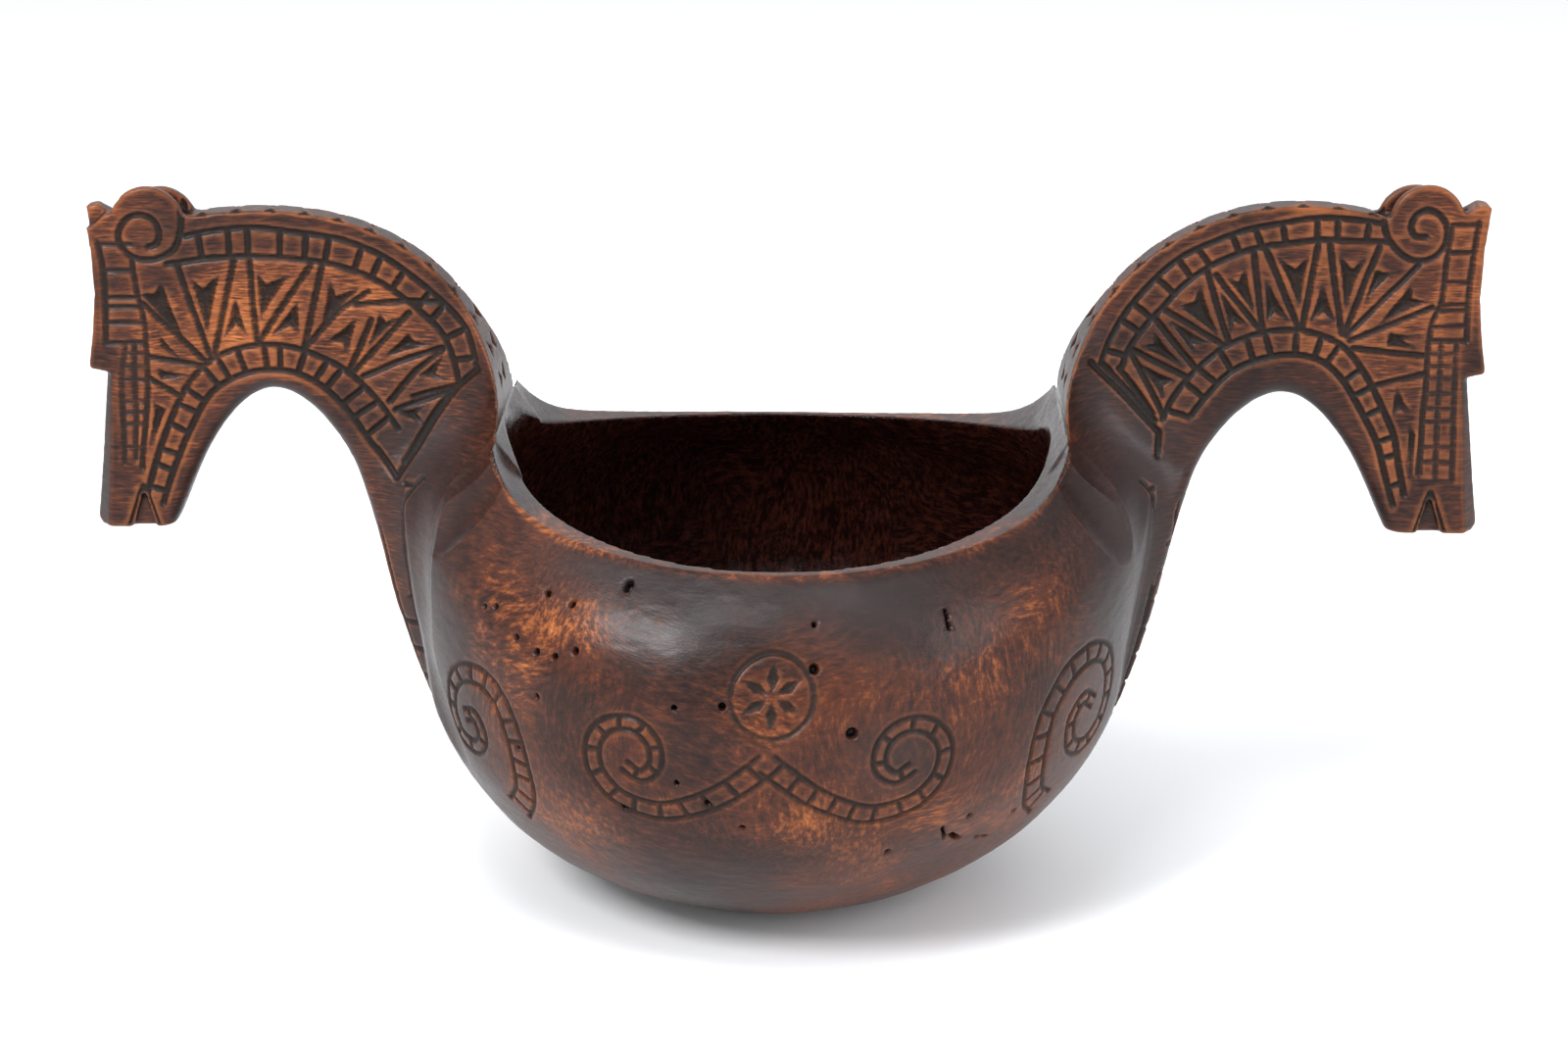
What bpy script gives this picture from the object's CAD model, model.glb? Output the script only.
import itertools
import math

import bmesh
import bpy
import numpy as np
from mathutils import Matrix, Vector


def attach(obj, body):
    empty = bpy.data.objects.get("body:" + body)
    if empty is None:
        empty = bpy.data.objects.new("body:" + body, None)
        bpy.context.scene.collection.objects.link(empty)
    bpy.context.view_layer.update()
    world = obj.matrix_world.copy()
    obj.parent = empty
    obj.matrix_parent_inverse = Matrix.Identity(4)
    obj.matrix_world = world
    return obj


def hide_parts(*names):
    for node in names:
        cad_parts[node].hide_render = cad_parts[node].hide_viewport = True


# A carved wooden drinking bowl with two horse-head handles, hewn from one block.
# The three CAD solids are joined into one skin, the skin is carved, and then it is
# divided again at the two planes where the handles meet the bowl.
# Carving is measured in millimetres. Blender works in metres.

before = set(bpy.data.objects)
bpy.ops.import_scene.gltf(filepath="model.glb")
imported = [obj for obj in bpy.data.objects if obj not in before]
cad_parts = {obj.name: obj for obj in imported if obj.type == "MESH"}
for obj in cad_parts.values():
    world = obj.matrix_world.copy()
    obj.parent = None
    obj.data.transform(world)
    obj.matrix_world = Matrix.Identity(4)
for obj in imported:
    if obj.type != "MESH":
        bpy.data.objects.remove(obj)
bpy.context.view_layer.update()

MM = 0.001
VOXEL = 0.45 * MM
SKIN_TRIANGLES = 560000
BOWL = "bowl"
LEFT = "left_horse_handle"
RIGHT = "right_horse_handle"

# Planes that divide the handles from the bowl: two points for the right handle, and
# how far both planes lie to the left
ROOT_TOP = (67.2, 118.2)
ROOT_BOTTOM = (93.2, 70.8)
ROOT_SHIFT = -0.6
ROOT_SLOPE = 0.5485         # how far the planes run outward for each unit they go down

# Bowl: the lean of its middle line and its rim, as in the CAD, and the radius of the
# cylinder that its ornament is measured on
LEAN_AT_BASE = -4.0
LEAN_AT_RIM = -1.6
RIM_LOW = 98.3
RIM_END = 67.0
RIM_RISES = ((9.0, 2.4), (9.7, 16.0))
BELLY_RADIUS = 84.0

# Telling the places of the skin apart. Each pair is where a soft mask starts and ends.
HANDLE_FADE = (-3.0, 3.0)       # distance past the root plane
INSIDE_FADE = (-0.1, -0.4)      # how far the surface faces away from the middle line
FLOOR_TURN = 0.9                # weight of facing up, below FLOOR_BELOW
FLOOR_BELOW = 40.0
HOLLOW_WITHIN = 82.0            # the hollow lies inside this radius
HOLLOW_ABOVE = 7.0
FACE_FADE = (0.6, 0.85)         # how squarely a handle's face looks to the front or back

# Camera
LOOK_AT = Vector((-0.001, 0.0, 0.0894))
DISTANCE = 0.81
ELEVATION = math.radians(17.5)
YAW = math.radians(1.0)
LENS = 76.5
SHIFT_X = 0.001875
SENSOR_WIDTH = 36.0

# Studio: half-width of the floor, light from all round, and the soft lights: name,
# place, width and height, power, colour
FLOOR_REACH = 4.0
FLOOR_WHITE = (0.93, 0.93, 0.93, 1)
SKY_COLOUR = (0.95, 0.97, 1.0, 1)
SKY_STRENGTH = 0.95
SOFTBOXES = (
    ("key", (-0.62, -0.80, 0.95), (0.30, 0.40), 13.5, (0.97, 0.98, 1.0)),
    ("fill", (0.95, -0.7, 0.6), (0.25, 0.8), 5.0, (0.93, 0.96, 1.0)),
    ("back", (0.1, 1.0, 0.9), (1.2, 0.4), 2.5, (1.0, 1.0, 1.0)),
    ("front", (-0.15, -0.55, 1.1), (0.35, 0.2), 3.0, (0.95, 0.97, 1.0)),
)

# ---------------------------------------------------------------- carving pattern
# Points on the flat faces of a handle: distance from the middle of the cup, height.
# The same pattern is cut into both faces.

LEFT_PATTERN = {
    "ladder": (
        ((142.0, 160.6), (134.7, 161.9), (125.0, 162.5), (113.2, 161.3), (105.0, 160.0),
         (99.0, 157.8), (93.0, 154.7), (87.0, 150.2), (81.3, 145.0), (77.0, 140.5),
         (75.0, 137.0), (73.2, 129.8)),
        ((146.5, 154.0), (134.7, 155.4), (122.0, 155.5), (113.0, 154.8), (108.0, 154.0),
         (103.0, 152.6), (96.0, 149.7), (90.0, 145.5), (85.0, 141.2), (81.5, 137.2),
         (79.2, 132.0), (77.8, 125.0)),
    ),
    "ladder_rungs": 13,
    "arch": (
        ((154.1, 96.9), (151.2, 105.4), (147.4, 116.0), (141.8, 126.0), (134.7, 131.9),
         (125.0, 134.4), (115.0, 133.0), (105.0, 128.4), (98.2, 121.8), (92.8, 114.1)),
        ((150.0, 95.4), (146.8, 104.5), (142.9, 113.6), (137.1, 122.8), (128.8, 127.2),
         (119.5, 128.0), (111.5, 125.0), (105.4, 119.0), (99.4, 110.6), (93.4, 103.2)),
    ),
    "arch_rungs": 17,
    "rays": (
        ((152.6, 144.2), (137.9, 129.8)),
        ((144.2, 154.0), (137.0, 130.6)),
        ((130.6, 154.4), (136.4, 131.0)),
        ((126.8, 154.4), (125.8, 135.4)),
        ((112.2, 154.0), (125.3, 135.2)),
        ((109.6, 153.8), (114.6, 133.8)),
        ((98.8, 147.5), (106.0, 143.0), (114.6, 133.6)),
        ((98.4, 140.6), (103.8, 128.6)),
        ((89.2, 142.4), (95.4, 136.0), (102.8, 128.2)),
        ((81.5, 134.0), (93.0, 130.0), (100.8, 126.8)),
        ((81.6, 133.6), (88.0, 128.0), (94.6, 120.6)),
        ((78.8, 123.8), (93.2, 118.6)),
        ((78.2, 124.9), (88.6, 121.8)),
        ((152.4, 131.3), (139.4, 129.2)),
        ((152.1, 126.2), (144.7, 121.5)),
        ((102.0, 144.4), (90.0, 145.2), (81.6, 144.9)),
        ((73.0, 129.7), (78.3, 124.7), (88.0, 110.5), (93.4, 103.0), (98.0, 109.2)),
        ((79.6, 124.2), (91.4, 106.6)),
    ),
    "chips": (
        ((153.2, 146.4), (149.8, 146.8), (147.8, 149.6), (143.0, 134.6)),
        ((141.0, 150.6), (138.2, 148.2), (134.0, 151.4), (137.7, 137.2)),
        ((130.4, 146.2), (128.0, 136.4), (130.6, 139.0), (133.7, 136.0)),
        ((125.3, 151.6), (123.0, 149.2), (117.6, 151.2), (124.6, 140.6)),
        ((115.4, 145.4), (115.8, 136.8), (117.8, 138.8), (122.4, 136.6)),
        ((107.9, 150.4), (106.6, 146.6), (100.8, 148.2), (110.3, 139.0)),
        ((101.6, 141.4), (104.4, 132.6), (105.6, 134.8), (109.6, 135.0)),
        ((96.4, 142.6), (94.8, 140.2), (90.8, 141.6), (99.6, 133.8)),
        ((89.4, 137.4), (88.0, 135.4), (83.6, 134.9), (95.8, 131.4)),
        ((81.2, 132.4), (83.4, 127.6), (81.0, 126.2), (87.6, 126.8)),
        ((93.6, 118.2), (86.0, 119.6), (88.0, 117.8), (86.4, 115.2)),
        ((149.8, 137.4), (149.0, 133.6), (144.6, 131.0)),
        ((150.2, 128.4), (149.4, 125.6), (142.4, 126.6)),
        ((151.2, 120.0), (148.4, 118.4), (152.3, 109.6)),
    ),
    "forehead": (
        ((162.6, 158.9), (161.8, 151.3), (161.5, 143.1), (162.2, 135.4)),
        ((154.6, 154.5), (153.8, 146.6), (152.5, 139.5), (152.4, 126.0), (153.2, 117.2),
         (154.6, 104.0)),
    ),
    "brow_rungs": (158.4, 152.2, 145.6, 143.4, 139.5, 134.6),
    "muzzle": (
        ((157.4, 134.4), (158.6, 124.0), (158.9, 105.0)),
        ((155.2, 134.4), (155.6, 118.0), (156.0, 106.0)),
    ),
    "muzzle_rungs": (132.0, 128.8, 125.7, 120.3, 117.6, 114.8, 109.0),
    "mouth": ((151.4, 89.4), (154.6, 99.4), (158.2, 89.4)),
    "roll": ((142.6, 168.0), (142.6, 163.0), (144.2, 158.2), (147.6, 155.6), (151.5, 154.8),
             (155.0, 155.8), (157.2, 158.4), (157.4, 161.6), (155.2, 164.8), (151.8, 165.6),
             (149.0, 164.2), (147.9, 161.2), (148.6, 158.8), (150.6, 157.9)),
}

RIGHT_PATTERN = {
    "ladder": (
        ((140.5, 164.6), (134.9, 165.5), (128.6, 165.8), (121.7, 165.5), (115.5, 164.6),
         (108.6, 162.8), (101.1, 160.3), (94.8, 157.3), (89.8, 153.6), (85.1, 148.6),
         (80.7, 142.9), (77.3, 136.9), (75.1, 131.3)),
        ((142.1, 160.2), (135.5, 160.5), (128.6, 160.5), (121.7, 160.2), (115.5, 159.6),
         (109.9, 158.3), (104.2, 156.3), (99.2, 153.7), (93.6, 149.3), (89.2, 144.2),
         (85.4, 139.8), (82.0, 134.7), (79.8, 129.3)),
    ),
    "ladder_rungs": 12,
    "arch": (
        ((148.3, 99.0), (147.1, 105.1), (145.5, 112.8), (143.0, 118.5), (139.3, 126.2),
         (135.5, 131.5), (131.8, 135.4), (127.4, 137.7), (121.7, 139.0), (113.0, 138.2),
         (105.0, 135.2), (100.3, 131.8), (96.1, 127.7), (92.3, 122.3), (90.2, 117.2)),
        ((145.8, 96.4), (143.7, 103.8), (141.8, 110.8), (138.0, 118.1), (133.6, 125.7),
         (129.3, 130.2), (125.5, 132.4), (121.1, 133.1), (115.5, 132.5), (109.2, 130.6),
         (104.2, 127.5), (99.8, 122.4), (96.7, 117.9)),
    ),
    "arch_rungs": 15,
    "rays": (
        ((149.3, 154.9), (132.8, 137.6)),
        ((153.0, 144.7), (133.6, 136.4)),
        ((151.2, 133.0), (134.4, 134.6)),
        ((139.9, 159.2), (132.3, 138.0)),
        ((128.2, 159.4), (131.7, 138.2)),
        ((125.4, 159.4), (122.4, 139.6)),
        ((113.0, 158.6), (121.6, 139.6)),
        ((110.4, 157.6), (113.2, 138.8)),
        ((101.6, 152.2), (112.4, 139.2)),
        ((99.6, 152.9), (105.2, 135.9)),
        ((90.1, 143.6), (104.2, 135.2)),
        ((87.6, 141.6), (97.3, 129.8)),
        ((82.6, 134.0), (95.5, 127.4)),
        ((82.0, 133.8), (90.4, 117.9)),
        ((79.4, 129.6), (87.8, 118.6)),
        ((152.0, 128.6), (140.6, 125.8)),
        ((72.6, 132.0), (89.4, 114.0), (89.3, 108.6)),
        ((75.4, 131.2), (88.4, 116.8)),
    ),
    "chips": (
        ((147.6, 150.0), (148.3, 147.0), (151.8, 146.0), (140.0, 140.0)),
        ((144.6, 154.8), (142.8, 152.6), (138.9, 153.6), (137.0, 146.2)),
        ((136.8, 156.4), (133.8, 153.8), (130.6, 156.6), (132.2, 144.0)),
        ((126.8, 150.4), (130.4, 140.6), (127.3, 143.2), (124.1, 141.2)),
        ((123.4, 156.6), (120.2, 153.8), (116.0, 156.0), (121.7, 144.8)),
        ((113.4, 151.0), (114.0, 141.0), (116.0, 143.0), (119.8, 140.8)),
        ((108.6, 154.2), (107.0, 150.8), (104.2, 151.6), (111.2, 142.8)),
        ((102.6, 148.6), (105.6, 138.2), (106.4, 140.8), (109.8, 140.0)),
        ((98.0, 149.8), (96.8, 146.0), (93.2, 144.6), (102.6, 137.6)),
        ((90.8, 141.6), (97.2, 132.8), (96.8, 135.4), (100.8, 135.8)),
        ((87.0, 139.0), (87.6, 135.8), (84.6, 134.8), (94.4, 130.2)),
        ((84.0, 130.8), (92.4, 126.6), (89.8, 125.0), (90.2, 121.6)),
        ((143.0, 138.6), (150.0, 137.4), (146.6, 136.6), (149.8, 134.6), (142.6, 135.0)),
        ((145.4, 125.4), (148.8, 119.0), (146.4, 119.8), (144.6, 118.2)),
        ((148.6, 116.4), (150.6, 113.6), (149.6, 103.0)),
    ),
    "forehead": (
        ((162.9, 165.0), (161.4, 152.0), (161.2, 141.0), (161.4, 136.4)),
        ((156.5, 163.6), (155.6, 155.0), (155.0, 146.0), (153.0, 141.0), (152.3, 134.0),
         (152.0, 120.0), (151.6, 104.0)),
    ),
    "brow_rungs": (164.4, 157.8, 150.6, 145.2, 143.8, 140.0, 136.6),
    "muzzle": (
        ((158.9, 136.2), (159.0, 124.0), (159.6, 102.0)),
        ((155.3, 136.2), (155.3, 120.0), (155.6, 103.0)),
    ),
    "muzzle_rungs": (133.4, 130.4, 127.5, 123.8, 120.2, 117.0, 110.6, 107.0, 102.2),
    "mouth": ((151.4, 89.4), (154.6, 99.4), (158.2, 89.4)),
    "roll": ((140.4, 168.0), (141.2, 162.4), (144.0, 158.2), (147.4, 156.0), (150.6, 155.8),
             (153.6, 157.4), (155.3, 160.5), (155.3, 164.0), (153.5, 166.8), (150.5, 168.0),
             (147.8, 166.4), (147.0, 163.6), (148.2, 161.7), (150.6, 161.6)),
}

GROOVE_HALF_WIDTH = 0.95
GROOVE_DEPTH = 0.95
# Width and depth of the finer grooves, as shares of the main ones
RUNG_SHARES = (0.95, 1.0)
RAY_SHARES = (1.02, 1.0)
FOREHEAD_SHARES = (0.85, 0.85)
BROW_SHARES = (0.8, 0.8)
MUZZLE_SHARES = (0.75, 0.7)
MUZZLE_RUNG_SHARES = (0.7, 0.55)
RUNG_UNEVENNESS = 0.16          # share of a rung's space that it may stand off
CHIP_SLOPE = 0.95
CHIP_DEPTH = 1.5
CHIP_EDGE = 0.25                # depth of a chip at its very edge
FACES_FROM = 70.0               # the pattern starts this far from the middle
WOBBLE = (9.0, 0.28)            # size and reach of the hand's unsteadiness

# Triangles along the top of each neck: distance from the middle, height
CREST = ((67.0, 117.0), (67.6, 127.0), (72.2, 138.8), (80.4, 150.6), (93.0, 160.2),
         (108.5, 165.8), (124.0, 167.2), (142.5, 165.2))
CREST_CENTRE = (121.0, 112.0)
CREST_PITCH = 8.2
CREST_ENDS = (9.0, 3.0)         # free of triangles, at the root and at the head
CREST_TRIANGLE = (4.6, 3.4)     # along the crest, across it
CREST_EDGE = 4.6                # from the middle of the crest to a triangle's base
CREST_CHIP = (0.9, 1.1)         # slope, depth
CREST_SPAN = (66.0, 141.0)
CREST_ABOVE = 118.0

# Ladder border down both sides of each keel: distances from its middle, heights
KEEL_RAILS = (9.6, 13.2)
KEEL_SPAN = (46.0, 104.0)
KEEL_RUNG_PITCH = 7.0
KEEL_FROM = 60.0                # from the middle of the cup
KEEL_WITHIN = 20.0              # of the keel's middle
KEEL_HEIGHTS = (40.0, 110.0)

# Scooped facets where the rim runs into the necks: middle, the way the facet runs, the
# way it faces, its half-length and half-width, and its depth
SCOOP_MIDDLE = (72.0, 33.0, 107.0)
SCOOP_RUN = (0.57, 0.28, -0.77)
SCOOP_FACING = (0.45, 0.85, 0.28)
SCOOP_SIZE = (18.0, 8.5)
SCOOP_DEPTH = 2.2
SCOOP_POWER = 0.9
SCOOP_CLEAR = 12.0              # the scoops stay this far from the middle of the neck

# Bowl ornament: distance round the belly from the front, height. It is laid out
# from generic folk motifs, a double volute, a compass rosette and side spirals.
VOLUTE = ((0.0, 60.0), (9.0, 52.6), (18.0, 47.8), (26.0, 46.0), (34.5, 48.4),
          (39.6, 54.6), (40.0, 61.4), (36.2, 66.4), (30.0, 67.2), (25.4, 63.4),
          (25.0, 58.0), (28.6, 54.8), (32.4, 57.0))
VOLUTE_WIDTHS = (5.2, 2.6)
LEFT_SPIRAL = ((-70.5, 35.6), (-64.6, 41.0), (-62.4, 48.0), (-62.8, 56.0), (-66.2, 64.0),
               (-72.4, 68.6), (-80.0, 68.6), (-86.4, 64.0), (-88.4, 57.0), (-85.2, 51.0),
               (-79.0, 49.8), (-75.4, 53.6), (-77.4, 58.2), (-81.4, 57.4))
RIGHT_SPIRAL = ((81.0, 34.4), (74.4, 38.4), (70.0, 45.4), (68.6, 54.0), (70.4, 63.0),
                (76.4, 70.0), (85.0, 72.4), (93.4, 69.4), (98.0, 61.6), (96.6, 52.6),
                (89.6, 47.6), (82.4, 50.2), (80.2, 57.0), (84.2, 61.6), (89.6, 59.0))
SPIRAL_WIDTHS = (6.0, 2.8)
ROSETTE = (0.6, 75.2)
ROSETTE_RADIUS = 8.0
ROSETTE_PETALS = 6
# One petal, as shares of the radius: along it, across it
ROSETTE_PETAL = ((0.12, 0.0), (0.5, 0.17), (0.95, 0.0), (0.5, -0.17))
ROSETTE_CHIP = (0.8, 0.9)       # slope, depth
ROSETTE_RING_GAP = 1.2
ROSETTE_RING_POINTS = 49
RUNG_PITCH = 5.6
BELLY_GROOVE = (0.82, 0.66)     # half-width, depth
BELLY_HEIGHTS = (26.0, 97.0)
BELLY_OUTSIDE = 50.0            # radius

# Warm ring of rays on each handle: its centre (distance from the middle, height), radii,
# and the heights between which it fades out towards the muzzle
SECTOR_CENTRE = (120.5, 111.0)
SECTOR_RADII = (24.5, 44.5)
SECTOR_FADE = (112, 124)
PLAIN_WARMTH = 0.18
SECTOR_WARMTH = 0.56
RIGHT_WARMTH = 0.7              # the right handle is darker
LIP_WARMTH = 0.7
LIP_WARM_FADE = (2.2, 0.6)      # distance from the rim
LIP_CLEAN_FADE = (3.0, 0.8)
LIP_CLEAN = 0.8                 # share of the smoke worn off the rim
# Smoke at the roots of the necks: middles, reach, strength
ROOT_SPOTS = ((82, 0, 106), (-84, 0, 106))
ROOT_SPOT_REACH = (14, 60, 20)
ROOT_SMOKE = 0.85
THROAT_SMOKE = 0.8
THROAT_FADE = (-0.1, -0.6)
# Worn orange patches and smoky patches of the bowl: strength, middle, radii
WARM_SPOTS = (
    (1.0, (-62, -58, 74), (13, 20, 12)), (0.9, (-46, -70, 84), (20, 24, 9)),
    (0.8, (-70, -44, 92), (12, 18, 8)), (0.9, (-8, -84, 73), (15, 16, 9)),
    (0.7, (-24, -78, 56), (18, 18, 10)), (0.6, (2, -78, 44), (24, 20, 8)),
    (0.65, (46, -70, 76), (20, 20, 9)), (0.6, (60, -56, 88), (16, 20, 8)),
    (0.5, (40, -66, 42), (20, 24, 9)), (0.6, (-42, -62, 38), (16, 20, 9)),
    (0.6, (50, 66, 76), (20, 24, 13)), (0.6, (-30, 76, 70), (24, 24, 14)),
    (0.5, (10, 74, 44), (26, 24, 12)),
)
SMOKE_SPOTS = (
    (0.85, (22, -70, 92), (15, 16, 11)), (0.6, (0, -68, 97), (40, 14, 5)),
    (0.5, (26, -82, 60), (12, 14, 12)), (0.5, (-34, -64, 98), (18, 14, 4)),
    (0.7, (86, -30, 74), (13, 26, 26)), (0.6, (-88, -26, 66), (12, 26, 26)),
    (0.6, (-10, 70, 90), (26, 18, 10)), (0.6, (84, 30, 70), (14, 26, 26)),
    (0.6, (-88, 28, 68), (12, 26, 26)),
)

# Woodworm holes: distance round the belly from the front, height, radius
WORM_HOLES = (
    (-38.0, 95.3, 1.15), (-57.5, 91.6, 0.7), (-50.0, 90.4, 0.75), (-73.9, 86.0, 0.6),
    (-70.3, 86.8, 0.65), (-62.6, 81.4, 0.75), (-56.0, 79.4, 0.8), (-51.0, 79.3, 0.8),
    (-46.0, 81.6, 0.8), (-55.0, 69.4, 0.7), (-21.1, 72.1, 0.65), (-10.3, 73.0, 0.9),
    (-61.7, 54.8, 0.7), (9.9, 80.9, 1.2), (18.3, 66.8, 1.3), (-20.1, 54.1, 0.7),
    (-13.2, 49.4, 0.9), (-33.4, 45.3, 0.8), (-5.3, 43.8, 0.7), (10.2, 89.6, 0.6),
    (51.0, 40.2, 0.7), (30.6, 33.8, 0.8), (68.4, 36.1, 0.7),
)
# Short slots that the worms left open: both ends, half-width
WORM_SLOTS = (
    (((43.0, 87.0), (43.2, 90.4)), 0.5),
    (((47.6, 35.4), (51.2, 33.2)), 0.7),
    (((44.0, 38.6), (45.8, 35.2)), 0.4),
    (((58.0, 31.4), (63.0, 30.2)), 0.35),
)
WORM_DEPTH = 2.4

# Unevenness left by the tools: size of its features, height
AXE_PATCHES = (26.0, 0.45)
KNIFE_PATCHES = (11.0, 0.18)
GOUGE_STROKES = ((8.0, 8.0, 26.0), 1.1)
GOUGE_CHATTER = ((4.0, 4.0, 9.0), 0.35)
FINE_CUTS = ((3.0, 3.0, 1.2), 0.05)
TOOL_LIMITS = (-0.6, 1.2)
RIM_CALM = (0.0, 9.0)           # below the rim: where the outside gets uneven
GOUGE_CALM = (1.5, 11.0)        # and the hollow
FLOOR_CALM = (0.3, 0.85)        # how far up a surface faces where gouging dies away

# Rounding of the raw skin, and the measuring of its worn edges
ROUNDING_PASSES = 6
ROUNDING = 0.6
BEND_PASSES = 5
HALO_PASSES = 6
HALO_GAIN = 12.0                # keeps worn edges away from the worm holes
FULL_OF_GRIME = 0.7             # cuts this deep are full of grime


# ------------------------------------------------------------------ small helpers
def smoothstep(low, high, value):
    share = np.clip((value - low) / (high - low), 0.0, 1.0)
    return share * share * (3.0 - 2.0 * share)


def lattice_noise(points, cell, seed):
    """Smooth noise from -1 to 1 with features about one cell wide."""
    scaled = points / np.asarray(cell, float)
    base = np.floor(scaled).astype(np.int64)
    part = scaled - base
    part = part * part * (3.0 - 2.0 * part)
    total = np.zeros(len(points))
    for corner in itertools.product((0, 1), repeat=3):
        spot = base + corner
        mixed = (spot[:, 0] * 73856093) ^ (spot[:, 1] * 19349663) ^ (spot[:, 2] * 83492791)
        mixed = (mixed + seed * 2654435761) & 0xFFFFFFFF
        mixed = ((mixed ^ (mixed >> 15)) * 2246822519) & 0xFFFFFFFF
        mixed = ((mixed ^ (mixed >> 13)) * 3266489917) & 0xFFFFFFFF
        value = (mixed ^ (mixed >> 16)) / 2147483647.5 - 1.0
        weight = np.prod(np.where(np.array(corner), part, 1.0 - part), axis=1)
        total += weight * value
    return total


def spline(points, step):
    """Points about one step apart on a smooth curve through the given points."""
    p = np.array(points, float)
    p = np.vstack([2 * p[0] - p[1], p, 2 * p[-1] - p[-2]])
    curve = []
    for a, b, c, d in zip(p[:-3], p[1:-2], p[2:-1], p[3:]):
        count = max(2, int(np.hypot(*(c - b)) / step))
        t = (np.arange(count) / count)[:, None]
        curve.append(0.5 * (2 * b + (c - a) * t + (2 * a - 5 * b + 4 * c - d) * t ** 2
                            + (3 * b - a - 3 * c + d) * t ** 3))
    curve.append(p[-2:-1])
    return np.vstack(curve)


def along(curve, shares):
    """Points of a curve at the given shares of its length."""
    gaps = np.hypot(*np.diff(curve, axis=0).T)
    run = np.concatenate([[0.0], np.cumsum(gaps)])
    run /= run[-1]
    return np.stack([np.interp(shares, run, curve[:, k]) for k in (0, 1)], axis=1)


def length_of(curve):
    return float(np.hypot(*np.diff(curve, axis=0).T).sum())


def distance_to_segment(points, a, b):
    run = b - a
    share = np.clip((points - a) @ run / max(run @ run, 1e-9), 0.0, 1.0)
    return np.hypot(*(points - a - share[:, None] * run).T)


def cut_groove(depth, points, line, half_width, deep):
    """Deepens a V-shaped groove along a line, in place."""
    line = np.asarray(line, float)
    for a, b in zip(line[:-1], line[1:]):
        low = np.minimum(a, b) - half_width
        high = np.maximum(a, b) + half_width
        near = np.flatnonzero(((points >= low) & (points <= high)).all(axis=1))
        gap = distance_to_segment(points[near], a, b)
        cut = deep * (1.0 - np.minimum(gap / half_width, 1.0) ** 1.4)
        depth[near] = np.maximum(depth[near], cut)


def cut_chip(depth, points, corners, slope, deep):
    """Deepens a sunken chip with sloping walls inside a polygon, in place."""
    corners = np.asarray(corners, float)
    near = np.flatnonzero(
        ((points >= corners.min(0)) & (points <= corners.max(0))).all(axis=1))
    spot = points[near]
    inside = np.zeros(len(near), bool)
    gap = np.full(len(near), 1e9)
    for a, b in zip(corners, np.roll(corners, -1, axis=0)):
        crosses = (a[1] > spot[:, 1]) != (b[1] > spot[:, 1])
        rise = (b[1] - a[1]) if b[1] != a[1] else 1e-9
        inside ^= crosses & (spot[:, 0] < a[0] + (b[0] - a[0]) * (spot[:, 1] - a[1]) / rise)
        gap = np.minimum(gap, distance_to_segment(spot, a, b))
    cut = np.where(inside, np.minimum(CHIP_EDGE + slope * gap, deep), 0.0)
    depth[near] = np.maximum(depth[near], cut)


def cut_rungs(depth, points, first, second, shares, half_width, deep):
    """Short grooves from points of one rail straight across to the other."""
    for a in along(first, shares):
        b = second[np.argmin(np.hypot(*(second - a).T))]
        cut_groove(depth, points, (a, b), half_width, deep)


def scaled_groove(shares):
    """Half-width and depth of a handle's groove, as shares of the main ones."""
    return GROOVE_HALF_WIDTH * shares[0], GROOVE_DEPTH * shares[1]


def place_at(line, height):
    """Where a line that runs downward passes a height."""
    return np.interp(-height, -line[:, 1], line[:, 0])


def between(values, span):
    return (values > span[0]) & (values < span[1])


def rim_height(x):
    share = np.clip(np.abs(x - ROOT_SHIFT) / RIM_END, 0.0, 1.0)
    return RIM_LOW + sum(rise * share ** power for rise, power in RIM_RISES)


# -------------------------------------------------------------- carving functions
def handle_face_depth(points, pattern):
    """How deep the pattern of one handle is cut at points of its flat face."""
    depth = np.zeros(len(points))
    wide = GROOVE_HALF_WIDTH
    deep = GROOVE_DEPTH
    for name, rungs in (("ladder", "ladder_rungs"), ("arch", "arch_rungs")):
        rails = [spline(line, 1.0) for line in pattern[name]]
        for rail in rails:
            cut_groove(depth, points, rail, wide, deep)
        count = pattern[rungs]
        uneven = RUNG_UNEVENNESS * np.sin(np.arange(count) * 2.3)
        shares = (np.arange(count) + 0.5 + uneven) / count
        cut_rungs(depth, points, *rails, shares, *scaled_groove(RUNG_SHARES))
    for ray in pattern["rays"]:
        cut_groove(depth, points, ray, *scaled_groove(RAY_SHARES))
    for chip in pattern["chips"]:
        cut_chip(depth, points, chip, CHIP_SLOPE, CHIP_DEPTH)
    outer, inner = [spline(line, 2.0) for line in pattern["forehead"]]
    for line in (outer, inner):
        cut_groove(depth, points, line, *scaled_groove(FOREHEAD_SHARES))
    for height in pattern["brow_rungs"]:
        ends = [(place_at(line, height), height) for line in (outer, inner)]
        cut_groove(depth, points, ends, *scaled_groove(BROW_SHARES))
    front, back = [spline(line, 2.0) for line in pattern["muzzle"]]
    for line in (front, back):
        cut_groove(depth, points, line, *scaled_groove(MUZZLE_SHARES))
    for height in pattern["muzzle_rungs"]:
        ends = [(place_at(line, height), height) for line in (front, inner)]
        cut_groove(depth, points, ends, *scaled_groove(MUZZLE_RUNG_SHARES))
    cut_groove(depth, points, pattern["mouth"], wide, deep)
    cut_groove(depth, points, spline(pattern["roll"], 1.0), wide, deep)
    return depth


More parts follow.
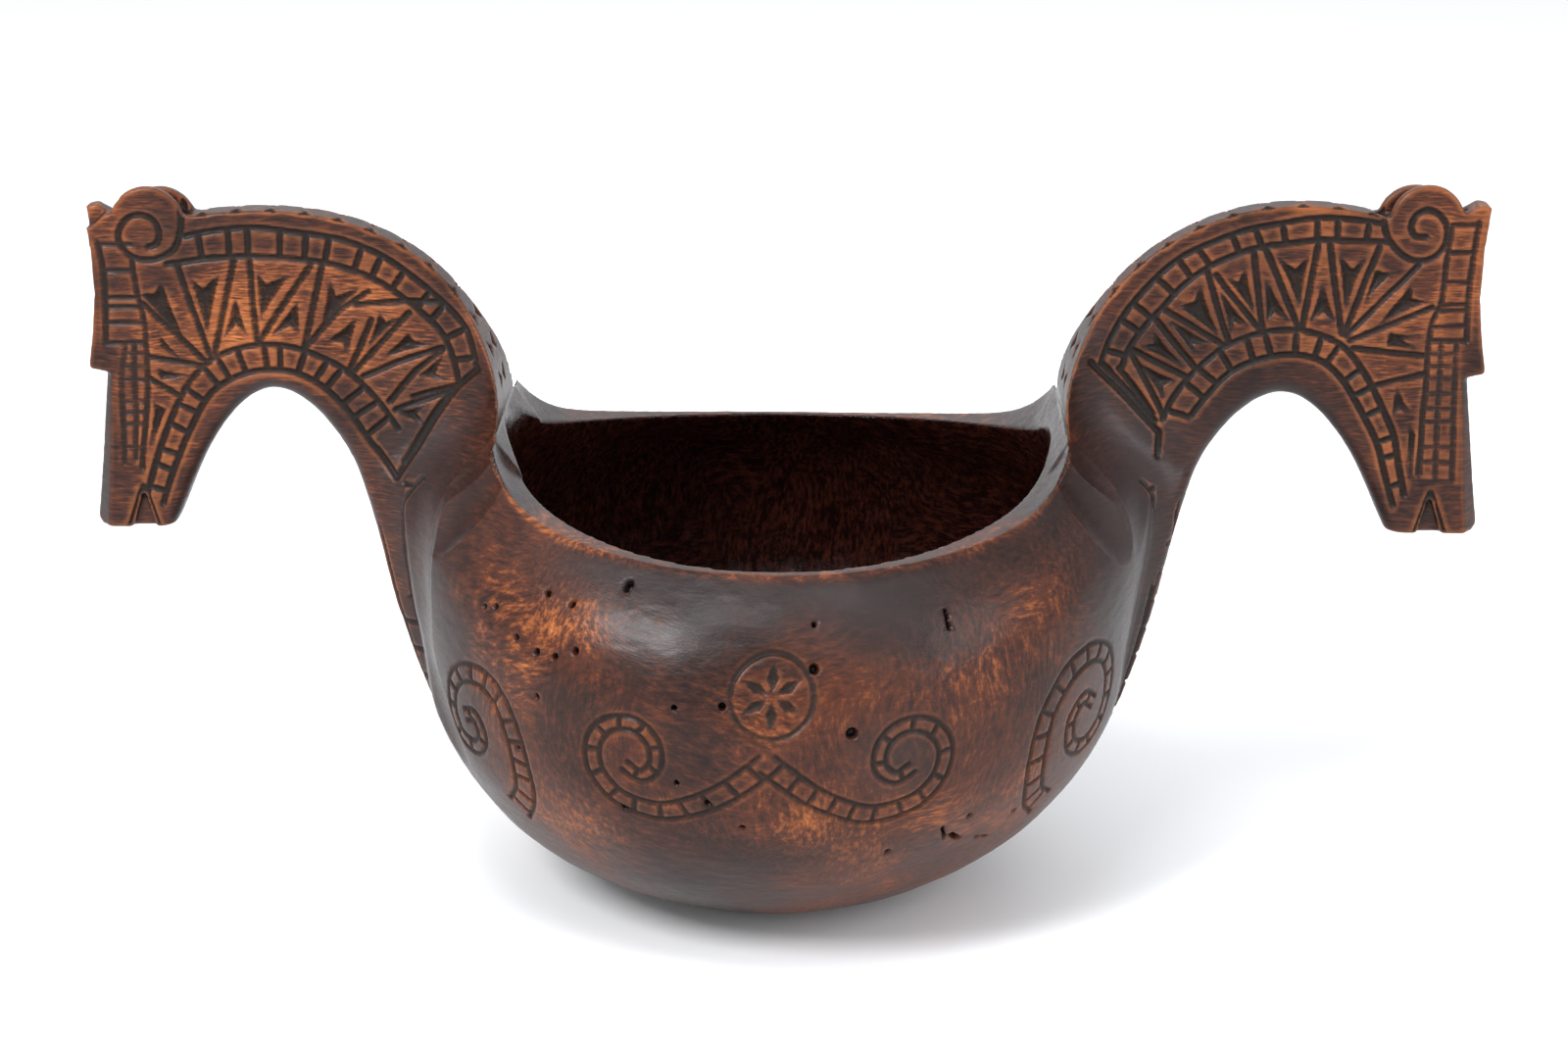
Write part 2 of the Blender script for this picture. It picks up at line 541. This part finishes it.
def crest_depth(outward, across, height):
    """Triangles cut into the top of the neck."""
    crest = spline(CREST, 0.5)
    angle = np.arctan2(crest[:, 1] - CREST_CENTRE[1], CREST_CENTRE[0] - crest[:, 0])
    run = np.concatenate([[0.0], np.cumsum(np.hypot(*np.diff(crest, axis=0).T))])
    spot = np.arctan2(height - CREST_CENTRE[1], CREST_CENTRE[0] - outward)
    points = np.stack([np.interp(spot, angle, run), np.abs(across)], 1)
    depth = np.zeros(len(points))
    long, wide = CREST_TRIANGLE
    for place in np.arange(CREST_ENDS[0], run[-1] - CREST_ENDS[1], CREST_PITCH):
        corners = ((place - long / 2, CREST_EDGE), (place + long / 2, CREST_EDGE),
                   (place, CREST_EDGE - wide))
        cut_chip(depth, points, corners, *CREST_CHIP)
    return depth


def keel_depth(across, height):
    """Ladder border beside the keel that runs down each end of the bowl."""
    points = np.stack([np.abs(across), height], 1)
    depth = np.zeros(len(points))
    wide, deep = BELLY_GROOVE
    inner, outer = KEEL_RAILS
    low, high = KEEL_SPAN
    for rail in KEEL_RAILS:
        cut_groove(depth, points, ((rail, low), (rail, high)), wide, deep)
    for rung in np.arange(low, high, KEEL_RUNG_PITCH):
        cut_groove(depth, points, ((inner, rung), (outer, rung)), wide, deep)
    return depth


def scoop_depth(place):
    """Shallow hollows at the four corners of the rim."""
    offset = np.stack([place.outward, np.abs(place.y), place.z], 1) - SCOOP_MIDDLE
    run = np.array(SCOOP_RUN) / np.linalg.norm(SCOOP_RUN)
    across = np.cross(SCOOP_FACING, run)
    across /= np.linalg.norm(across)
    length, width = SCOOP_SIZE
    spread = (offset @ run / length) ** 2 + (offset @ across / width) ** 2
    outside = (place.inside < 0.5) & (np.abs(place.y) > SCOOP_CLEAR)
    return SCOOP_DEPTH * np.clip(1.0 - spread, 0.0, 1.0) ** SCOOP_POWER * outside


def ribbon(depth, points, line, widths):
    """A ladder band: two rails that draw together, with rungs between them."""
    middle = spline(line, 1.2)
    tangent = np.gradient(middle, axis=0)
    tangent /= np.maximum(np.hypot(*tangent.T), 1e-9)[:, None]
    share = np.linspace(0.0, 1.0, len(middle))[:, None]
    half = (widths[0] + (widths[1] - widths[0]) * share) / 2
    side = np.stack([-tangent[:, 1], tangent[:, 0]], 1) * half
    wide, deep = BELLY_GROOVE
    rails = (middle + side, middle - side)
    for rail in rails:
        cut_groove(depth, points, rail, wide, deep)
    count = int(length_of(middle) / RUNG_PITCH)
    cut_rungs(depth, points, *rails, (np.arange(count) + 0.5) / count, wide, deep)


def belly_depth(points):
    """Ornament on the front and sides of the bowl, round the belly and up it."""
    depth = np.zeros(len(points))
    for side in (-1, 1):
        line = [(side * s, z) for s, z in VOLUTE]
        ribbon(depth, points, line, VOLUTE_WIDTHS)
    for line in (LEFT_SPIRAL, RIGHT_SPIRAL):
        ribbon(depth, points, line, SPIRAL_WIDTHS)
    centre = np.array(ROSETTE)
    for petal in range(ROSETTE_PETALS):
        angle = 2 * math.pi * petal / ROSETTE_PETALS
        out = np.array((math.sin(angle), math.cos(angle)))
        cross = np.array((out[1], -out[0]))
        corners = [centre + ROSETTE_RADIUS * (a * out + b * cross) for a, b in ROSETTE_PETAL]
        cut_chip(depth, points, corners, *ROSETTE_CHIP)
    turn = np.linspace(0.0, 2 * math.pi, ROSETTE_RING_POINTS)
    ring_radius = ROSETTE_RADIUS + ROSETTE_RING_GAP
    ring = centre + ring_radius * np.stack([np.cos(turn), np.sin(turn)], 1)
    cut_groove(depth, points, ring, *BELLY_GROOVE)
    return depth


def worm_depth(points):
    """Holes and slots that woodworm left in the front of the bowl."""
    depth = np.zeros(len(points))
    for s, z, radius in WORM_HOLES:
        gap = np.hypot(points[:, 0] - s, points[:, 1] - z)
        depth = np.maximum(depth, WORM_DEPTH * (1.0 - smoothstep(radius * 0.6, radius * 1.15, gap)))
    for ends, half in WORM_SLOTS:
        gap = distance_to_segment(points, np.array(ends[0]), np.array(ends[1]))
        depth = np.maximum(depth, WORM_DEPTH * (1.0 - smoothstep(half * 0.5, half * 1.2, gap)))
    return depth


# ------------------------------------------------------------------ skin of the cup
def read_points(mesh):
    flat = np.empty(len(mesh.vertices) * 3, np.float32)
    mesh.vertices.foreach_get("co", flat)
    return flat.reshape(-1, 3).astype(float) / MM


def write_points(mesh, points):
    mesh.vertices.foreach_set("co", (points * MM).astype(np.float32).ravel())
    mesh.update()


def read_normals(mesh):
    flat = np.empty(len(mesh.vertices) * 3, np.float32)
    mesh.vertex_normals.foreach_get("vector", flat)
    return flat.reshape(-1, 3).astype(float)


def read_edges(mesh):
    flat = np.empty(len(mesh.edges) * 2, np.int32)
    mesh.edges.foreach_get("vertices", flat)
    return flat.reshape(-1, 2)


def neighbour_mean(values, edges):
    """Mean of each vertex's neighbours, for one or more columns."""
    a, b = edges[:, 0], edges[:, 1]
    count = np.bincount(a, minlength=len(values)) + np.bincount(b, minlength=len(values))
    columns = values.reshape(len(values), -1)
    mean = np.empty_like(columns)
    for k in range(columns.shape[1]):
        total = np.bincount(a, columns[b, k], len(values))
        total += np.bincount(b, columns[a, k], len(values))
        mean[:, k] = total / count
    return mean.reshape(values.shape)


def evaluated_copy(mesh, name, kind, **settings):
    """A copy of a mesh with one modifier applied."""
    holder = bpy.data.objects.new("holder", mesh)
    bpy.context.scene.collection.objects.link(holder)
    modifier = holder.modifiers.new("step", kind)
    for key, value in settings.items():
        setattr(modifier, key, value)
    graph = bpy.context.evaluated_depsgraph_get()
    copy = bpy.data.meshes.new_from_object(holder.evaluated_get(graph))
    copy.name = name
    bpy.data.objects.remove(holder)
    return copy


def joined_skin():
    """One closed skin over the three CAD solids."""
    build = bmesh.new()
    for node in (BOWL, LEFT, RIGHT):
        build.from_mesh(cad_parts[node].data)
    mesh = bpy.data.meshes.new("joined")
    build.to_mesh(mesh)
    build.free()
    mesh.materials.clear()
    return evaluated_copy(mesh, "skin", "REMESH", mode="VOXEL", voxel_size=VOXEL, adaptivity=0.0)


def set_attribute(mesh, name, values):
    """Stores one number for each vertex, for the material to read."""
    layer = mesh.attributes.new(name, "FLOAT", "POINT")
    layer.data.foreach_set("value", values.astype(np.float32))


class Places:
    """Where each vertex of the skin lies on the cup. Millimetres."""

    def __init__(self, points, normals):
        self.points = points
        self.normals = normals
        self.x, self.y, self.z = points.T
        self.outward = np.abs(self.x)
        lean = LEAN_AT_BASE + (LEAN_AT_RIM - LEAN_AT_BASE) * np.clip(self.z / RIM_LOW, 0, 1)
        self.from_axis_x = self.x - lean
        self.radius = np.hypot(self.from_axis_x, self.y)
        self.round = np.arctan2(self.from_axis_x, -self.y) * BELLY_RADIUS
        facing = (normals[:, 0] * self.from_axis_x + normals[:, 1] * self.y)
        facing = facing / np.maximum(self.radius, 1.0)
        handle_line = ROOT_TOP[0] + (ROOT_TOP[1] - self.z) * ROOT_SLOPE
        self.handle = smoothstep(*HANDLE_FADE, self.outward - handle_line)
        floor = FLOOR_TURN * normals[:, 2] * (self.z < FLOOR_BELOW)
        self.inside = smoothstep(*INSIDE_FADE, facing - floor)
        hollow = (self.radius < HOLLOW_WITHIN) & (self.z > HOLLOW_ABOVE)
        self.inside *= hollow & (self.handle < 0.5)
        self.face = smoothstep(*FACE_FADE, np.abs(normals[:, 1])) * (self.handle > 0.3)
        self.below_rim = rim_height(self.x) - self.z


def carving_depth(place):
    """Depth of every deliberate cut, and of the woodworm's holes."""
    cell, reach = WOBBLE
    wobble = np.stack([lattice_noise(place.points, cell, seed) for seed in (3, 4)], 1) * reach
    flat = np.stack([place.outward, place.z], 1) + wobble
    cuts = np.zeros(len(flat))
    for side, pattern in ((-1, LEFT_PATTERN), (1, RIGHT_PATTERN)):
        on_face = (place.x * side > 0) & (place.face > 0.01)
        pick = np.flatnonzero(on_face & (place.outward > FACES_FROM))
        cuts[pick] = handle_face_depth(flat[pick], pattern) * place.face[pick]
    nx, ny, nz = place.normals.T
    up = nz - nx * np.sign(place.x) * 0.8
    crest = np.flatnonzero(between(place.outward, CREST_SPAN) & (np.abs(ny) < 0.6)
                           & (place.z > CREST_ABOVE) & (up > 0.35))
    cuts[crest] = np.maximum(cuts[crest], crest_depth(
        place.outward[crest], place.y[crest], place.z[crest]))
    outside = place.inside < 0.5
    belly = np.flatnonzero((place.y < 0) & outside & between(place.z, BELLY_HEIGHTS)
                           & (place.radius > BELLY_OUTSIDE) & (place.handle < 0.5))
    spots = np.stack([place.round, place.z], 1)[belly] + wobble[belly]
    cuts[belly] = np.maximum(cuts[belly], belly_depth(spots))
    keel = np.flatnonzero((place.outward > KEEL_FROM) & outside & (place.face < 0.5)
                          & (np.abs(place.y) < KEEL_WITHIN) & between(place.z, KEEL_HEIGHTS))
    cuts[keel] = np.maximum(cuts[keel], keel_depth(place.y[keel], place.z[keel]))
    worms = np.zeros(len(flat))
    worms[belly] = worm_depth(spots)
    return cuts, worms


def hand_work(place):
    """Unevenness left by the axe and the knife, outside and in the hollow."""
    def uneven(features, seed):
        return lattice_noise(place.points, features[0], seed)

    slow = uneven(AXE_PATCHES, 11) * AXE_PATCHES[1] + uneven(KNIFE_PATCHES, 12) * KNIFE_PATCHES[1]
    outside = slow * (1.0 - 0.75 * place.handle)
    outside *= 0.3 + 0.7 * smoothstep(*RIM_CALM, place.below_rim)
    gouge = GOUGE_STROKES[1] * np.abs(uneven(GOUGE_STROKES, 21))
    gouge += GOUGE_CHATTER[1] * uneven(GOUGE_CHATTER, 22)
    gouge *= smoothstep(*GOUGE_CALM, place.below_rim)
    gouge *= 1.0 - 0.65 * smoothstep(*FLOOR_CALM, place.normals[:, 2])
    fine = uneven(FINE_CUTS, 31) * FINE_CUTS[1]
    return outside * (1 - place.inside) + gouge * place.inside + fine


def dress_skin(mesh):
    """Rounds, carves and measures the skin."""
    edges = read_edges(mesh)
    points = read_points(mesh)
    for _ in range(ROUNDING_PASSES):
        points += ROUNDING * (neighbour_mean(points, edges) - points)
    write_points(mesh, points)
    place = Places(points, read_normals(mesh))
    cuts, worms = carving_depth(place)
    uneven = np.clip(hand_work(place), *TOOL_LIMITS)
    push = np.maximum(cuts, worms) + scoop_depth(place) + uneven
    points = points - place.normals * push[:, None]
    points[:, 2] = np.maximum(points[:, 2], 0.0)
    write_points(mesh, points)
    normals = read_normals(mesh)
    bend = ((points - neighbour_mean(points, edges)) * normals).sum(1)
    for _ in range(BEND_PASSES):
        bend = 0.5 * bend + 0.5 * neighbour_mean(bend, edges)
    halo = worms / WORM_DEPTH
    for _ in range(HALO_PASSES):
        halo = np.maximum(halo, neighbour_mean(halo, edges))
    bend *= 1.0 - np.clip(halo * HALO_GAIN, 0, 1)
    set_attribute(mesh, "carve", np.clip(cuts / FULL_OF_GRIME, 0, 1))
    set_attribute(mesh, "worm", np.clip(worms / WORM_DEPTH, 0, 1))
    set_attribute(mesh, "bend", bend / (VOXEL / MM))
    set_attribute(mesh, "inside", place.inside)
    set_attribute(mesh, "neck", place.handle)
    set_attribute(mesh, "warm", warm_zones(place))
    set_attribute(mesh, "smoke", smoke_zones(place))


def blob(place, centre, radii):
    """A soft spot, 1 in its middle."""
    offset = (place.points - np.array(centre)) / np.array(radii)
    return np.exp(-(offset ** 2).sum(1))


def warm_zones(place):
    """Where the wood is worn to a warm orange brown."""
    ring = np.hypot(place.outward - SECTOR_CENTRE[0], place.z - SECTOR_CENTRE[1])
    inner, outer = SECTOR_RADII
    sectors = smoothstep(inner - 2, inner + 1, ring) * smoothstep(outer + 2, outer - 1, ring)
    sectors *= smoothstep(*SECTOR_FADE, place.z)
    faces = place.face * (PLAIN_WARMTH + SECTOR_WARMTH * sectors)
    faces *= np.where(place.x > 0, RIGHT_WARMTH, 1.0)
    belly = np.zeros(len(place.z))
    for strength, centre, radii in WARM_SPOTS:
        belly += strength * blob(place, centre, radii)
    mottle = 0.75 + 0.5 * lattice_noise(place.points, 8.0, 41)
    lip = smoothstep(*LIP_WARM_FADE, np.abs(place.below_rim)) * (1 - place.handle)
    return np.clip(faces + belly * mottle * (1 - place.handle) + LIP_WARMTH * lip, 0, 1)


def smoke_zones(place):
    """Where the wood is darkened and greyed by hands and smoke."""
    smoke = np.zeros(len(place.z))
    for strength, centre, radii in SMOKE_SPOTS:
        smoke += strength * blob(place, centre, radii)
    root = sum(blob(place, centre, ROOT_SPOT_REACH) for centre in ROOT_SPOTS)
    throat = smoothstep(*THROAT_FADE, place.normals[:, 2]) * place.handle
    smoke = np.clip(smoke + root * ROOT_SMOKE + throat * THROAT_SMOKE, 0, 1)
    lip = smoothstep(*LIP_CLEAN_FADE, np.abs(place.below_rim)) * (1 - place.handle)
    return smoke * (1 - place.inside) * (1 - LIP_CLEAN * lip)


# ------------------------------------------------------------- dividing the skin
def root_plane(side):
    """Point on and outward direction of the plane at the root of a handle."""
    along_x = ROOT_BOTTOM[0] - ROOT_TOP[0]
    along_z = ROOT_BOTTOM[1] - ROOT_TOP[1]
    size = math.hypot(along_x, along_z)
    point = Vector((side * ROOT_TOP[0] + ROOT_SHIFT, 0, ROOT_TOP[1])) * MM
    return point, Vector((-side * along_z / size, 0, along_x / size))


def divided_pieces(mesh):
    """The skin cut at both root planes into three closed pieces."""
    whole = bmesh.new()
    whole.from_mesh(mesh)
    planes = {LEFT: root_plane(-1), RIGHT: root_plane(1)}
    for point, out in planes.values():
        everything = whole.verts[:] + whole.edges[:] + whole.faces[:]
        bmesh.ops.bisect_plane(whole, geom=everything, dist=1e-8, plane_co=point, plane_no=out)
    whole.normal_update()
    skin_normal = whole.verts.layers.float_vector.new("skin_normal")
    for vertex in whole.verts:
        vertex[skin_normal] = vertex.normal
    whole.to_mesh(mesh)
    whole.free()
    return {name: one_piece(mesh, name, planes) for name in (BOWL, LEFT, RIGHT)}


def belongs(centre, name, planes):
    """Whether a face with this middle is part of the named piece."""
    beyond = {key: (centre - point).dot(out) > 0 for key, (point, out) in planes.items()}
    if name == BOWL:
        return not any(beyond.values())
    return beyond[name]


def close_cut(build, point, out):
    """Closes the flat opening that a root plane left. Returns its new faces."""
    on_plane = {v for v in build.verts if abs((v.co - point).dot(out)) < 1e-6}
    edges = [e for e in build.edges if e.is_boundary and on_plane.issuperset(e.verts)]
    if not edges:
        return []
    made = bmesh.ops.triangle_fill(build, edges=edges, use_beauty=True, normal=out)
    return [item for item in made["geom"] if isinstance(item, bmesh.types.BMFace)]


def one_piece(mesh, name, planes):
    """One closed piece, shaded with the normals of the undivided skin."""
    build = bmesh.new()
    build.from_mesh(mesh)
    spare = [f for f in build.faces if not belongs(f.calc_center_median(), name, planes)]
    bmesh.ops.delete(build, geom=spare, context="FACES")
    caps = set()
    for point, out in planes.values():
        caps.update(close_cut(build, point, out))
    bmesh.ops.recalc_face_normals(build, faces=build.faces)
    skin_normal = build.verts.layers.float_vector["skin_normal"]
    normals = []
    for face in build.faces:
        face.smooth = True
        for loop in face.loops:
            normals.append(tuple(face.normal if face in caps else loop.vert[skin_normal]))
    kept = bpy.data.meshes.new(name + "_carved")
    build.to_mesh(kept)
    build.free()
    kept.attributes.remove(kept.attributes["skin_normal"])
    kept.normals_split_custom_set(normals)
    piece = bpy.data.objects.new(name + "_carved", kept)
    bpy.context.scene.collection.objects.link(piece)
    return piece


# ------------------------------------------------------------------------ wood
class Graph:
    """Short calls for a material's node tree."""

    def __init__(self, material):
        material.use_nodes = True
        self.tree = material.node_tree
        self.tree.nodes.clear()

    def add(self, kind, inputs=None, **settings):
        node = self.tree.nodes.new("ShaderNode" + kind)
        for key, value in settings.items():
            setattr(node, key, value)
        for key, value in (inputs or {}).items():
            if isinstance(value, bpy.types.NodeSocket):
                self.tree.links.new(value, node.inputs[key])
            else:
                node.inputs[key].default_value = value
        return node

    def math(self, operation, a, b=0.0, c=0.0):
        node = self.add("Math", {0: a, 1: b, 2: c}, operation=operation)
        return node.outputs[0]

    def mix(self, share, a, b, blend="MIX"):
        node = self.add("Mix", {"Factor": share, 6: a, 7: b}, data_type="RGBA", blend_type=blend)
        return node.outputs[2]

    def stretch(self, value, low, high, to_low=0.0, to_high=1.0):
        node = self.add("MapRange", {0: value, 1: low, 2: high, 3: to_low, 4: to_high})
        return node.outputs[0]

    def noise(self, vector, scale, detail=3.0, rough=0.55):
        settings = {"Vector": vector, "Scale": scale, "Detail": detail, "Roughness": rough}
        return self.add("TexNoise", settings)

    def attribute(self, name):
        return self.add("Attribute", attribute_name=name).outputs["Fac"]

    def blend(self, share, a, b):
        return self.math("MULTIPLY_ADD", share, self.math("SUBTRACT", b, a), a)

    def scaled(self, vector, factors):
        return self.add("VectorMath", {0: vector, 1: factors}, operation="MULTIPLY").outputs[0]


DARK = (0.011, 0.0040, 0.0030, 1)
UMBER = (0.030, 0.0095, 0.0056, 1)
RUSSET = (0.076, 0.0200, 0.0082, 1)
AMBER = (0.250, 0.0720, 0.0190, 1)
HONEY = (0.440, 0.1500, 0.0420, 1)
GRIME = (0.0085, 0.0062, 0.0046, 1)
SOOT = (0.036, 0.0260, 0.0255, 1)
WORN = (0.330, 0.1000, 0.0280, 1)
HOLLOW_DARK = (0.0070, 0.0020, 0.0017, 1)
HOLLOW_RED = (0.0420, 0.0100, 0.0060, 1)
HOLE_BLACK = (0.003, 0.002, 0.002, 1)


def wood(name):
    """Dark polished root wood with streaky grain, grime in its cuts and worn edges."""
    material = bpy.data.materials.new(name)
    g = Graph(material)
    place = g.add("TexCoord").outputs["Object"]
    carve, worm, bend = g.attribute("carve"), g.attribute("worm"), g.attribute("bend")
    inside, warm, smoke = g.attribute("inside"), g.attribute("warm"), g.attribute("smoke")
    neck = g.attribute("neck")

    # Grain: level dashes on the handles, short curled strokes on the bowl
    swirl = g.noise(place, 24.0, 2.0).outputs["Color"]
    swirl = g.add("VectorMath", {0: swirl, 1: (0.5, 0.5, 0.5)}, operation="SUBTRACT").outputs[0]
    bent = g.add("VectorMath", {0: place, 1: g.scaled(swirl, (0.016, 0.016, 0.020))},
                 operation="ADD").outputs[0]
    slight = g.add("VectorMath", {0: place, 1: g.scaled(swirl, (0.004, 0.004, 0.007))},
                   operation="ADD").outputs[0]
    dash = g.noise(g.scaled(slight, (210, 210, 1900)), 1.0, 4.0, 0.62).outputs["Fac"]
    level = g.noise(g.scaled(bent, (260, 260, 900)), 1.0, 4.0, 0.68).outputs["Fac"]
    upright = g.noise(g.scaled(bent, (900, 900, 300)), 1.0, 4.0, 0.68).outputs["Fac"]
    turn = g.stretch(g.noise(place, 30.0, 1.0).outputs["Fac"], 0.45, 0.55)
    curl = g.blend(turn, level, upright)
    grain = g.blend(neck, curl, dash)
    fibre = g.noise(g.scaled(bent, (500, 500, 2100)), 1.0, 2.0, 0.6).outputs["Fac"]
    blotch = g.noise(place, 34.0, 5.0, 0.62).outputs["Fac"]
    cloud = g.noise(place, 13.0, 2.0, 0.5).outputs["Fac"]
    speck = g.noise(place, 900.0, 2.0, 0.7).outputs["Fac"]

    # Tone of the wood, from 0 for the darkest to 1 for the palest
    swing = g.math("MULTIPLY_ADD", warm, 0.36, 0.28)
    swing = g.math("MULTIPLY_ADD", neck, 0.12, swing)
    tone = g.math("MULTIPLY", g.stretch(grain, 0.34, 0.66, -0.5, 0.5), swing)
    tone = g.math("ADD", tone, g.stretch(fibre, 0.3, 0.7, -0.05, 0.05))
    tone = g.math("ADD", tone, g.stretch(blotch, 0.36, 0.64, -0.15, 0.17))
    tone = g.math("ADD", tone, g.stretch(cloud, 0.38, 0.62, 0.12, 0.38))
    tone = g.math("MULTIPLY_ADD", warm, 0.34, tone)
    tone = g.math("MULTIPLY_ADD", smoke, -0.20, tone)
    ramp = g.add("ValToRGB", {0: tone})
    stops = ((0.0, DARK), (0.24, UMBER), (0.48, RUSSET), (0.76, AMBER), (1.0, HONEY))
    elements = ramp.color_ramp.elements
    while len(elements) < len(stops):
        elements.new(0.5)
    for element, (position, colour) in zip(elements, stops):
        element.position = position
        element.color = colour
    colour = ramp.outputs[0]
    sooty = g.math("MULTIPLY", smoke, g.stretch(blotch, 0.3, 0.6, 0.55, 0.95))
    colour = g.mix(sooty, colour, SOOT)

    # Worn edges, the hollow, and the grime in the cuts
    worn = g.stretch(bend, 0.02, 0.085)
    worn = g.math("MULTIPLY", worn, g.stretch(blotch, 0.32, 0.60, 0.10, 0.72))
    worn = g.math("MULTIPLY", worn, g.stretch(neck, 0.0, 1.0, 0.6, 0.9))
    worn = g.math("MULTIPLY", worn, g.stretch(inside, 0.0, 1.0, 0.9, 0.12))
    colour = g.mix(worn, colour, WORN)
    hollow = g.mix(g.stretch(curl, 0.44, 0.66), HOLLOW_DARK, HOLLOW_RED)
    colour = g.mix(inside, colour, hollow)
    grime = g.stretch(bend, -0.02, -0.11)
    grime = g.math("MAXIMUM", g.math("MULTIPLY", carve, 0.97), g.math("MULTIPLY", grime, 0.75))
    grime = g.math("MULTIPLY", grime, g.stretch(speck, 0.2, 0.6, 0.8, 1.0))
    colour = g.mix(grime, colour, GRIME)
    colour = g.mix(worm, colour, HOLE_BLACK)

    # Polish and relief
    rough = g.stretch(blotch, 0.32, 0.68, 0.27, 0.40)
    rough = g.math("MULTIPLY_ADD", g.stretch(fibre, 0.3, 0.7), 0.08, rough)
    rough = g.math("MULTIPLY_ADD", grime, 0.35, rough)
    rough = g.math("MULTIPLY_ADD", inside, -0.13, rough)

    height = g.math("MULTIPLY", grain, 0.6)
    height = g.math("MULTIPLY_ADD", fibre, 0.3, height)
    height = g.math("MULTIPLY_ADD", speck, 0.12, height)
    bump = g.add("Bump", {"Strength": 0.42, "Distance": 0.00030, "Height": height})
    shader = g.add("BsdfPrincipled", {
        "Base Color": colour, "Roughness": rough, "IOR": 1.5, "Specular IOR Level": 0.20,
        "Coat Weight": 0.04, "Coat Roughness": 0.16, "Normal": bump.outputs[0]})
    g.add("OutputMaterial", {"Surface": shader.outputs[0]})
    return material


# --------------------------------------------------------------------- the studio
def aim(thing, target):
    thing.rotation_euler = (target - thing.location).to_track_quat("-Z", "Y").to_euler()


def add_camera():
    camera = bpy.data.objects.new("camera", bpy.data.cameras.new("camera"))
    bpy.context.scene.collection.objects.link(camera)
    back = Vector((math.sin(YAW) * math.cos(ELEVATION),
                   -math.cos(YAW) * math.cos(ELEVATION), math.sin(ELEVATION)))
    camera.location = LOOK_AT + back * DISTANCE
    aim(camera, LOOK_AT)
    camera.data.lens = LENS
    camera.data.sensor_width = SENSOR_WIDTH
    camera.data.shift_x = SHIFT_X
    camera.data.clip_start = 0.01
    bpy.context.scene.camera = camera


def add_softbox(name, place, size, power, tint):
    light = bpy.data.lights.new(name, "AREA")
    light.shape = "RECTANGLE"
    light.size, light.size_y = size
    light.energy = power
    light.color = tint
    box = bpy.data.objects.new(name, light)
    bpy.context.scene.collection.objects.link(box)
    box.location = place
    aim(box, LOOK_AT)


def add_studio():
    mesh = bpy.data.meshes.new("floor")
    reach = FLOOR_REACH
    corners = [(-reach, -reach, 0), (reach, -reach, 0), (reach, reach, 0), (-reach, reach, 0)]
    mesh.from_pydata(corners, [], [(0, 1, 2, 3)])
    floor = bpy.data.objects.new("floor", mesh)
    bpy.context.scene.collection.objects.link(floor)
    paint = bpy.data.materials.new("pale_floor")
    g = Graph(paint)
    shader = g.add("BsdfPrincipled", {"Base Color": FLOOR_WHITE, "Roughness": 0.8})
    g.add("OutputMaterial", {"Surface": shader.outputs[0]})
    mesh.materials.append(paint)
    world = bpy.data.worlds.new("studio")
    world.use_nodes = True
    sky = world.node_tree.nodes["Background"]
    sky.inputs["Color"].default_value = SKY_COLOUR
    sky.inputs["Strength"].default_value = SKY_STRENGTH
    bpy.context.scene.world = world
    bpy.context.scene.view_settings.view_transform = "Standard"
    for softbox in SOFTBOXES:
        add_softbox(*softbox)


add_camera()
add_studio()
skin = joined_skin()
dress_skin(skin)
share = min(1.0, SKIN_TRIANGLES / (2.0 * len(skin.polygons)))
if share < 1.0:
    skin = evaluated_copy(skin, "skin_light", "DECIMATE", ratio=share)
material = wood("dark_root_wood")
for node, piece in divided_pieces(skin).items():
    piece.data.materials.append(material)
    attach(piece, "root")
    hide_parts(node)
